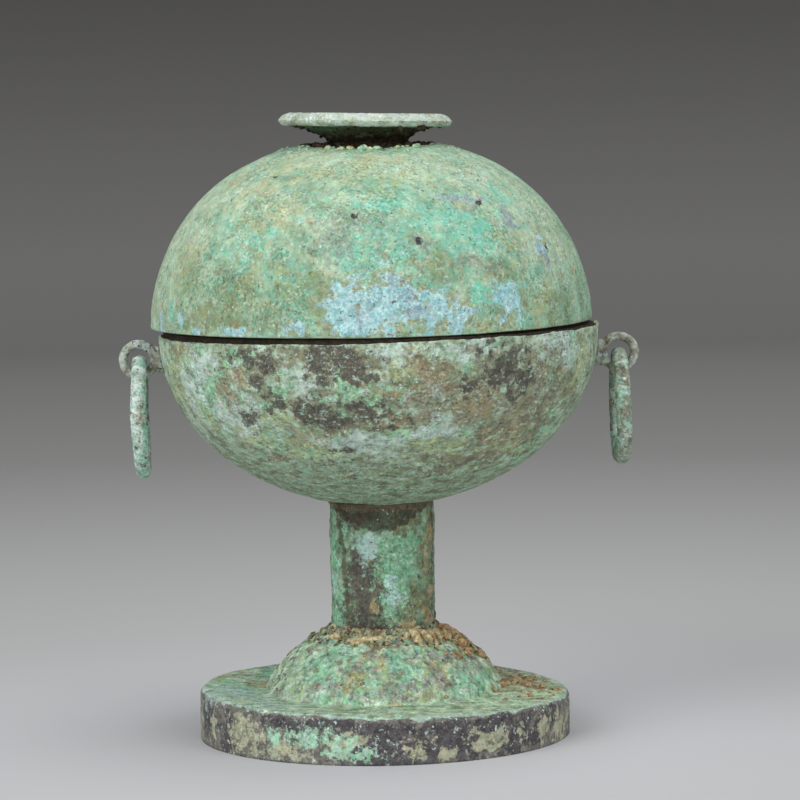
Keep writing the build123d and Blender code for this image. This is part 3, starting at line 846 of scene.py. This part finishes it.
FOOT_PATCHES = {
    "cream": (12, 0.4, [
        (-66, 6, 3, 4), (-47, 6, 8, 5), (-13, 6, 7, 3.5), (9, 5.5, 5, 3), (33, 6, 7, 3.5),
        (-30, 3.5, 7, 3), (58, 7, 4, 4), (69, 5, 6, 5), (46, 7, 2, 3), (19, 2.5, 4, 2), (78, 9, 4, 4),
        (-80, 6, 3, 5),
    ]),
    "ochre": (12, 0.5, [
        (-29, 62, 9, 3), (13, 62, 9, 3), (90, 56, 8, 8), (100, 26, 10, 6), (-18, 43, 5, 4),
        (32, 45, 5, 6), (92, 30, 8, 5), (32, 62, 6, 4), (-52, 62, 6, 3), (18, 37, 5, 2),
        (88, 24, 10, 6), (-6, 48, 6, 5),
    ]),
    "grey": (12, 0.5, [
        (13, 58, 10, 3), (-14, 47, 7, 3), (14, 41, 8, 3), (67, 47, 7, 4), (-60, 51, 6, 5),
        (4, 37, 12, 2), (40, 51, 7, 3), (-34, 40, 8, 3), (30, 43, 5, 4), (-6, 52, 5, 3),
    ]),
    "turquoise": (14, 0.3, [
        (-18, 41, 14, 5), (-88, 26, 12, 6), (14, 49, 8, 5), (48, 39, 12, 5), (-44, 47, 8, 6),
        (-34, 53, 8, 4),
    ]),
    "edge_dark": (12, 0.1, [
        (-1, 8, 14, 5), (-13, 11.5, 8, 2), (19, 8.5, 12, 5), (31, 10, 16, 3), (45, 6, 10, 5),
        (-29, 11.5, 8, 2), (11, 1.5, 16, 2), (-56, 4.5, 4, 6), (62, 10.5, 4, 4), (21, 4.5, 8, 5),
        (-5, 2.5, 9, 3), (-70, 9.5, 5, 5),
    ]),
    "edge_green": (12, 0.6, [(-24, 8, 10, 3.5), (-14, 5, 7, 3), (-34, 6, 4, 3), (-8, 2.5, 6, 2)]),
}
# Pale spots of painted highlight on the left of the disc's top
FOOT_HIGHLIGHTS = [(-74, 24, 16, 9), (-48, 24, 12, 6)]
FOOT_EDGE_TOP = 14.2
FOOT_LEAN = 1.4
DISC_BEGIN = 35.0


def make_foot(material):
    site = turned_site("foot", 0, columns=520, fine=0.66, coarse=3.0, facing=(1, 1))
    points = site.points
    wavering = site.along + 0.8 * fractal(points, 6, 2, 107)
    on_edge = ease(wavering, FOOT_EDGE_TOP + 1.0, FOOT_EDGE_TOP - 1.0)
    # Thin band at the top of the disc's edge, which carries the painted highlight
    brink = 0.7 - np.abs(wavering - FOOT_EDGE_TOP - 0.5) / 0.8
    fields = patches(site, FOOT_PATCHES, 91)
    for name in ("cream", "edge_green", "edge_dark"):
        fields[name] -= 2 * (1 - on_edge)
    fields |= {
        "edge": on_edge * 2 - 1,
        # Painted highlight along the top edge and on the left of the disc's top
        "painted_highlight": np.maximum(brink, spots(site, FOOT_HIGHLIGHTS)),
        "mound": 2 * ease(site.along, DISC_BEGIN - 2, DISC_BEGIN + 2) - 1,
        "inside": np.where(site.hidden, 1.0, -1.0),
    }
    on_mound = ease(site.along, DISC_BEGIN - 4, DISC_BEGIN + 2)
    relief = 0.22 * fractal(points, 22, 2, 101) + 0.12 * fractal(points, 5, 3, 102)
    relief += (0.12 + 0.6 * on_mound) * grains(points, 2.6, 103) + 0.16 * grains(points, 1.3, 104) - 0.18
    relief += 0.3 * on_mound * grains(points, 1.7, 108)
    relief += on_mound * 0.4 * fractal(points, 6, 2, 105)
    relief += 0.16 * settled(site, np.maximum(fields["cream"], fields["edge_green"]), 3, 106)
    relief = np.where(site.hidden, 0.0, np.clip(relief, -0.6, 0.1 + 0.8 * on_mound))
    relief *= ease(site.height, 0.0, 1.0)
    site.moved = points + site.normals * relief[:, None]
    upper = ease(site.height, 1, FOOT_EDGE_TOP) * ~site.hidden
    outer = ease(site.radius, DISC_BEGIN + 4, DISC_BEGIN + 16)
    site.moved[:, 2] -= FOOT_LEAN * upper * outer * points[:, 0] / site.radius.max()
    add_piece("foot_disc", site.moved, site.faces, fields, material, "vessel", "foot_bronze", "foot")
    return site


# Rings and lugs

# Each bend is (degrees from the top, sideways shift, width in degrees).
LEFT_BENDS = [(90, -0.6, 30), (270, -0.3, 30), (180, 0.4, 45)]
RIGHT_BENDS = [(130, 0.5, 45)]


def make_ring(name, node, body, material, inward, twist, bends, seed):
    """Wire ring with uneven thickness, shifted a little along X and twisted sideways."""
    low, high = (np.array(corner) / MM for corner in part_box(node))
    center = (low + high) / 2
    wire = (high[0] - low[0]) / 2
    bend = (high[2] - low[2]) / 2 - wire
    around, across = 320, 36
    turn = np.repeat(np.radians(np.arange(around) * 360 / around), across)
    roll = np.tile(np.radians(np.arange(across) * 360 / across), around)
    outward = np.stack([np.zeros_like(turn), -np.sin(turn), np.cos(turn)], -1)
    side = np.array([1.0, 0, 0])
    normals = outward * np.cos(roll)[:, None] + side * np.sin(roll)[:, None]
    spine = center + outward * bend
    below = spine[:, 2].max() - spine[:, 2]
    thick = wire * (1.0 + (0.02 + 0.05 * fractal(spine, 9, 2, seed)) * ease(below, 3, 8))
    points = spine + normals * thick[:, None]
    relief = 0.10 * fractal(points, 3, 3, seed + 5) + 0.14 * grains(points, 1.5, seed + 9) - 0.1
    points += normals * np.clip(relief, -0.3, 0.1)[:, None]
    points[:, 0] += inward * (0.35 + 0.65 * ease(below, 2, 30)) + twist * points[:, 1]
    for place, shift, wide in bends:
        apart = (np.degrees(turn) - place + 180) % 360 - 180
        points[:, 0] += shift * np.exp(-((apart / wide) ** 2))
    add_piece(name, points, grid_faces(around, across, True), {}, material, body, "ring_bronze", node)


LUG_WELD = 0.001
LUG_DETAIL = 0.3


def make_lug(name, node, material, seed):
    """Lug with softened, pitted edges, from the CAD solid."""
    source = bpy.data.objects.new(name + "_source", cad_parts[node].data.copy())
    bpy.context.scene.collection.objects.link(source)
    source.modifiers.new("weld", "WELD").merge_threshold = LUG_WELD * MM
    remesh = source.modifiers.new("remesh", "REMESH")
    remesh.mode = "VOXEL"
    remesh.voxel_size = LUG_DETAIL * MM
    source.modifiers.new("smooth", "SMOOTH").iterations = 2
    bpy.context.view_layer.update()
    mesh = bpy.data.meshes.new_from_object(source.evaluated_get(bpy.context.evaluated_depsgraph_get()))
    bpy.data.objects.remove(source)
    faces = [list(polygon.vertices) for polygon in mesh.polygons]
    count = len(mesh.vertices)
    points, normals = np.zeros(count * 3), np.zeros(count * 3)
    mesh.vertices.foreach_get("co", points)
    mesh.vertex_normals.foreach_get("vector", normals)
    points, normals = points.reshape(-1, 3) / MM, normals.reshape(-1, 3)
    relief = 0.10 * fractal(points, 4, 2, seed) + 0.12 * grains(points, 1.3, seed + 4) - 0.08
    points += normals * np.clip(relief, -0.3, -0.03)[:, None]
    bpy.data.meshes.remove(mesh)
    add_piece(name, points, faces, {}, material, "vessel", "ring_bronze", node)


# Solder

def make_solder(name, node, axis_x, body, material, tall, seed):
    """Solder with lumps up to a height."""
    site = turned_site(node, axis_x, columns=240, fine=0.45, coarse=2.0)
    relief = 0.7 * grains(site.points, 2.2, seed) + 0.4 * fractal(site.points, 3, 2, seed + 3)
    moved = site.points + site.normals * np.clip(tall * relief, -0.1, tall)[:, None]
    add_piece(name, moved, site.faces, {}, material, body, "solder", node)


# Lumps of soil and crust

def ball():
    """Points and faces of a small round lump of radius 1."""
    lump = bmesh.new()
    bmesh.ops.create_icosphere(lump, subdivisions=3, radius=1)
    points = np.array([vertex.co for vertex in lump.verts])
    faces = [[vertex.index for vertex in face.verts] for face in lump.faces]
    lump.free()
    return points, faces


def make_lumps(name, site, lumps, material, body, slot):
    """One mesh of uneven lumps, each (grid point, half length, half width, half height, turn in degrees);
    a lump that isn't turned lies along the slope."""
    round_points, round_faces = ball()
    points, faces, shade = [], [], []
    for number, (index, long, wide, tall, turn) in enumerate(lumps):
        normal = Vector(site.normals[index])
        level = Vector((0, 0, 1)).cross(Vector((*site.points[index][:2], 0))).normalized()
        slope = normal.cross(level)
        swell = 1 + 0.35 * fractal(round_points + 7 * number, 1.1, 3, 200 + number)
        uneven = round_points * swell[:, None]
        spin = math.radians(turn)
        along = slope * math.cos(spin) + level * math.sin(spin)
        across = level * math.cos(spin) - slope * math.sin(spin)
        axes = np.array([along * long, across * wide, normal * tall])
        points.append(uneven @ axes + site.moved[index] + np.array(normal) * tall * 0.25)
        faces += [[corner + number * len(round_points) for corner in face] for face in round_faces]
        shade.append(np.full(len(round_points), draws.uniform(-1, 1)))
    add_piece(name, np.vstack(points), faces, {"pale_soil": np.concatenate(shade)}, material, body, slot)


# Each is (azimuth, distance along the foot's outline, half length, half width, half height, turn).
SOIL_LUMPS = [
    (77, 60, 3.0, 1.5, 1.4, 10), (78, 57, 3.0, 2.1, 1.8, 30), (68, 58.5, 3.2, 2.1, 1.8, 60),
    (75, 53, 2.0, 1.5, 1.2, -20), (80, 48, 2.8, 1.4, 1.2, 5), (84, 44, 1.8, 1.2, 0.9, 20),
    (58, 59.5, 2.8, 2.0, 1.8, 40), (47, 60, 2.2, 1.6, 1.4, 0), (99, 29, 2.8, 2.1, 1.6, 70),
    (93, 32, 2.2, 1.8, 1.4, 20), (88, 34, 1.8, 1.5, 1.2, 0), (105, 25, 2.8, 1.6, 1.2, 80),
    (111, 21, 2.4, 1.3, 0.9, 75), (79, 35, 1.7, 1.4, 1.0, 40), (92, 22, 2.6, 1.0, 0.6, 85),
    (90, 27, 2.4, 1.6, 1.1, 50),
]
# Straw-like pieces, given in the same way.
SOIL_STRAWS = [
    (30, 59.5, 4.6, 1.3, 1.3, 8), (40, 60, 3.6, 1.0, 1.4, -12), (22, 60.5, 2.4, 0.8, 1.0, 40),
    (-16, 59.5, 4.2, 1.1, 1.1, 74), (-24, 58.5, 2.8, 0.9, 0.9, 95), (-4, 60.5, 2.0, 1.0, 1.2, 70),
    (46, 56, 2.6, 0.7, 0.8, 30), (5, 34.5, 2.6, 0.6, 0.4, 88), (-48, 59, 2.4, 0.8, 0.9, 80),
    (57, 60, 2.6, 0.9, 1.3, 20),
]


def crumbs(site, count, turns, reach, size):
    """Chance crumbs between two azimuths and between two distances along the foot's outline."""
    lumps = []
    for _ in range(count):
        index = seat(site, draws.uniform(*turns), draws.uniform(*reach))
        half = draws.uniform(*size)
        lumps.append((index, half * draws.uniform(1, 2.2), half, half * 0.6, draws.uniform(0, 180)))
    return lumps


def placed(site, places):
    """Lumps whose place is given as an azimuth and a distance along the outline."""
    return [(seat(site, *place[:2]), *place[2:]) for place in places]


def make_soil(site):
    """Crumbs of crust round the stem and on the mound, soil with chance crumbs on the right of the stem
    and of the disc, and straw-like pieces."""
    base = base_material()
    make_solder("stem_base_crust", "foot_solder", 0, "vessel", base, 1.1, 131)
    crust = crumbs(site, 170, (-180, 180), (56.0, 61.0), (0.4, 1.0))
    crust += crumbs(site, 60, (-180, 180), (35.0, 57.0), (0.3, 0.6))
    make_lumps("base_lumps", site, crust, base, "vessel", "solder")
    soil = placed(site, SOIL_LUMPS) + crumbs(site, 44, (45, 110), (48.0, 61.0), (0.5, 1.3))
    soil += crumbs(site, 90, (55, 145), (16.0, 36.0), (0.3, 0.9))
    make_lumps("soil_lumps", site, soil, soil_material(), "vessel", "solder")
    make_lumps("soil_straws", site, placed(site, SOIL_STRAWS), straw_material(), "vessel", "solder")


def chance_lumps(allowed, count, size, flat=0.85):
    """Small lumps on chance grid points among those allowed."""
    picked = draws.choice(np.flatnonzero(allowed), count, replace=False)
    lumps = []
    for index in picked:
        half = draws.uniform(*size)
        lumps.append((int(index), half, half * draws.uniform(0.6, 1), half * flat, draws.uniform(0, 180)))
    return lumps


# Drips of rust under the knob, given in the same way.
DRIPS = [(25, -5.2, 1.2, 0.9, 1.3, 0), (42, -4.6, 1.4, 0.9, 1.1, 90), (-60, -8.0, 0.9, 0.8, 1.0, 0)]
# Each is (azimuth, distance inwards from the edge of the crown, half length).
MINT_NODULES = [
    (-4, 0.6, 1.6), (1, 0.2, 1.3), (7, 0.8, 1.2), (-13, 0.5, 1.2), (22, 0.4, 1.0), (38, 0.8, 1.4),
    (-30, 0.3, 1.1), (-20, 1, 1.0),
]


def make_crusts(lid_site, knob_site, rust, mint):
    """Rust nodules round the neck and under the disc of the knob, and pale ones on the crown."""
    crown = lid_site.height.max()
    under = (knob_site.normals[:, 2] < -0.25) & (knob_site.radius < 25) & (knob_site.height > crown + 1)
    drips = placed(knob_site, DRIPS) + chance_lumps(under, 90, (0.3, 0.7))
    make_lumps("knob_rust", knob_site, drips, rust, "lid", "solder")
    outer = ~lid_site.hidden
    near = outer & (lid_site.radius > 12.5) & (lid_site.radius < 22)
    make_lumps("crown_rust", lid_site, chance_lumps(near, 150, (0.4, 1.2)), rust, "lid", "solder")
    edge = lid_site.along[outer & (lid_site.height > crown - 0.2)].min()
    nodules = []
    for turn, inwards, half in MINT_NODULES:
        nodules.append((seat(lid_site, turn, edge + inwards), half * 0.7, half, half * 0.6, 0))
    wide = outer & (lid_site.radius > 20) & (lid_site.radius < 29)
    nodules += chance_lumps(wide, 90, (0.35, 0.8), 0.5)
    make_lumps("crown_nodules", lid_site, nodules, mint, "lid", "lid_bronze")


# Stage, light and camera

FLOOR_RINGS = (0, 60, 200, 600, 1200)
FLOOR_REACH = 2600.0
WALL_HEIGHT = 1000.0
WALL_BEND = 700.0
PAINTED_LIGHT_REACH = 2900.0
# Painted light on the floor and the wall behind: shades at shares of the reach, a pale pool near the vessel
# that darkens outwards
FLOOR_PAINTED_LIGHT = [
    (0.0, 0xC8C9CD), (0.083, 0xB8B8B8), (0.317, 0x9A9A98), (0.55, 0x9A9997),
    (0.76, 0x939290), (0.81, 0x858482), (0.866, 0x6A6967), (1.0, 0x42413F),
]


def make_floor():
    """Round pale floor that curves up far from the vessel."""
    turns = np.radians(np.linspace(0, 90, 13))
    flat = FLOOR_REACH - WALL_BEND
    rows = [(radius, 0) for radius in FLOOR_RINGS]
    rows += [(flat + WALL_BEND * math.sin(t), WALL_BEND * (1 - math.cos(t))) for t in turns]
    rows.append((FLOOR_REACH, WALL_HEIGHT))
    columns = 96
    turn = np.radians(np.arange(columns) * 360 / columns)
    points = np.array([(r * math.cos(t), r * math.sin(t), z) for r, z in rows for t in turn])
    numbers = np.arange(len(points)).reshape(len(rows), columns)
    numbers[0] = numbers[0, 0]
    beside = np.roll(numbers, -1, 1)
    quads = np.stack([numbers[:-1], numbers[1:], beside[1:], beside[:-1]], -1)
    faces = [list(dict.fromkeys(quad)) for quad in quads.reshape(-1, 4).tolist()]
    floor = add_object("floor", points, faces, {}, floor_material())


def floor_material():
    """Grey paper with a painted pool of light: pale near the vessel and darker with the distance from it.
    """
    paper = Nodes("floor_paper")
    reach = paper.add("VectorMath", {0: paper.place}, operation="LENGTH").outputs["Value"]
    # Painted pool of light: the floor's shade follows the distance from the vessel
    shade = paper.ramp(paper.math("DIVIDE", reach, PAINTED_LIGHT_REACH * MM), FLOOR_PAINTED_LIGHT)
    paper.fill(paper.shader, {"Base Color": shade, "Roughness": 0.9, "Specular IOR Level": 0.1})
    return paper.material


def soft_light(name, place, size, watts):
    """Square lamp, placed and sized in metres, that points at the middle of the vessel."""
    lamp = bpy.data.lights.new(name, "AREA")
    lamp.shape = "SQUARE"
    lamp.size = size
    lamp.energy = watts
    holder = bpy.data.objects.new(name, lamp)
    holder.location = place
    middle = Vector((0, 0, 0.1))
    holder.rotation_euler = (middle - holder.location).to_track_quat("-Z", "Y").to_euler()
    bpy.context.scene.collection.objects.link(holder)


def make_lights():
    soft_light("key", (-1.0, -1.0, 0.8), 1.2, 17.0)
    soft_light("fill", (0.9, -1.3, 0.5), 1.3, 12.0)
    soft_light("top", (0.32, -0.05, 1.45), 1.0, 7.0)
    world = bpy.data.worlds.new("studio")
    bpy.context.scene.world = world
    world.use_nodes = True
    glow = world.node_tree.nodes["Background"].inputs
    glow["Color"].default_value = colour(0xEEEFF2)
    glow["Strength"].default_value = 0.5


VIEW_TARGET = (6.41, 0.0, 105.31)
VIEW_DISTANCE = 1100.0
VIEW_ELEVATION = 4.6
VIEW_ROLL = 1.0
# The focal length and the width of the picture are in pixels.
VIEW_FOCUS = 3504.0
PICTURE_WIDTH = 800.0


def make_camera():
    """Camera in front of the vessel, at the angle and with the lens of the photo."""
    camera = bpy.data.cameras.new("camera")
    camera.sensor_width = 36.0
    camera.lens = camera.sensor_width * VIEW_FOCUS / PICTURE_WIDTH
    holder = bpy.data.objects.new("camera", camera)
    aim = Matrix.Rotation(math.radians(90 - VIEW_ELEVATION), 4, "X")
    roll = Matrix.Rotation(math.radians(-VIEW_ROLL), 4, "Z")
    back = aim @ Vector((0, 0, VIEW_DISTANCE * MM))
    holder.matrix_world = Matrix.Translation(Vector(VIEW_TARGET) * MM + back) @ aim @ roll
    bpy.context.scene.collection.objects.link(holder)
    bpy.context.scene.camera = holder


# Assembly

bpy.context.scene.view_settings.view_transform = "Standard"
make_camera()
make_lights()
make_floor()
rust = crust_material()
lid_surface = make_lid(lid_material())
knob_surface = make_knob(knob_material())
make_solder("knob_crust", "knob_solder", LID_AXIS_X, "lid", rust, 0.5, 121)
make_crusts(lid_surface, knob_surface, rust, mint_material())
make_bowl(bowl_material())
make_stem(stem_material())
make_soil(make_foot(foot_material()))
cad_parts["stem_solder"].data.materials.clear()
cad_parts["stem_solder"].data.materials.append(rust)
wire = left_ring_material()
make_ring("left_ring_wire", "left_ring", "left_handle", wire, 0.4, -0.05, LEFT_BENDS, 141)
wire = right_ring_material()
make_ring("right_ring_wire", "right_ring", "right_handle", wire, 0.2, 0.0, RIGHT_BENDS, 151)
lug_metal = lug_material()
make_lug("left_lug_loop", "left_lug", lug_metal, 161)
make_lug("right_lug_loop", "right_lug", lug_metal, 171)
